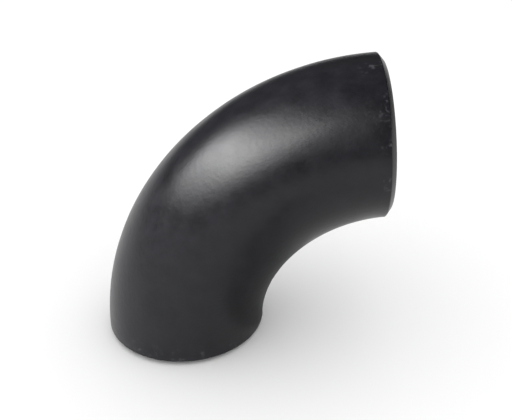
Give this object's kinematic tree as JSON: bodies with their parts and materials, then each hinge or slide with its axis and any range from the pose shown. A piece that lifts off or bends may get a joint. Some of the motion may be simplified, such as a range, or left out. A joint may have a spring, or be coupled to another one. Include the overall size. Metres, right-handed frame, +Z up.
{
  "type": "pipe elbow",
  "caption": "Quarter-turn long-radius pipe elbow: a bent steel tube, painted black, open at both ends, each with a weld bevel.",
  "frame": {"origin": "on the floor that the lower weld end stands on, at the middle of the elbow's box", "axes": "+Z up, out of the back of the lower weld end, which faces -Z; +X out of the upper weld end; +Y square to the plane of the bend"},
  "size_m": [0.1587, 0.0888, 0.1587],
  "materials": {
    "black_paint": "satin"
  },
  "bodies": {
    "root": {"elbow_body": "black_paint"}
  },
  "joints": []
}
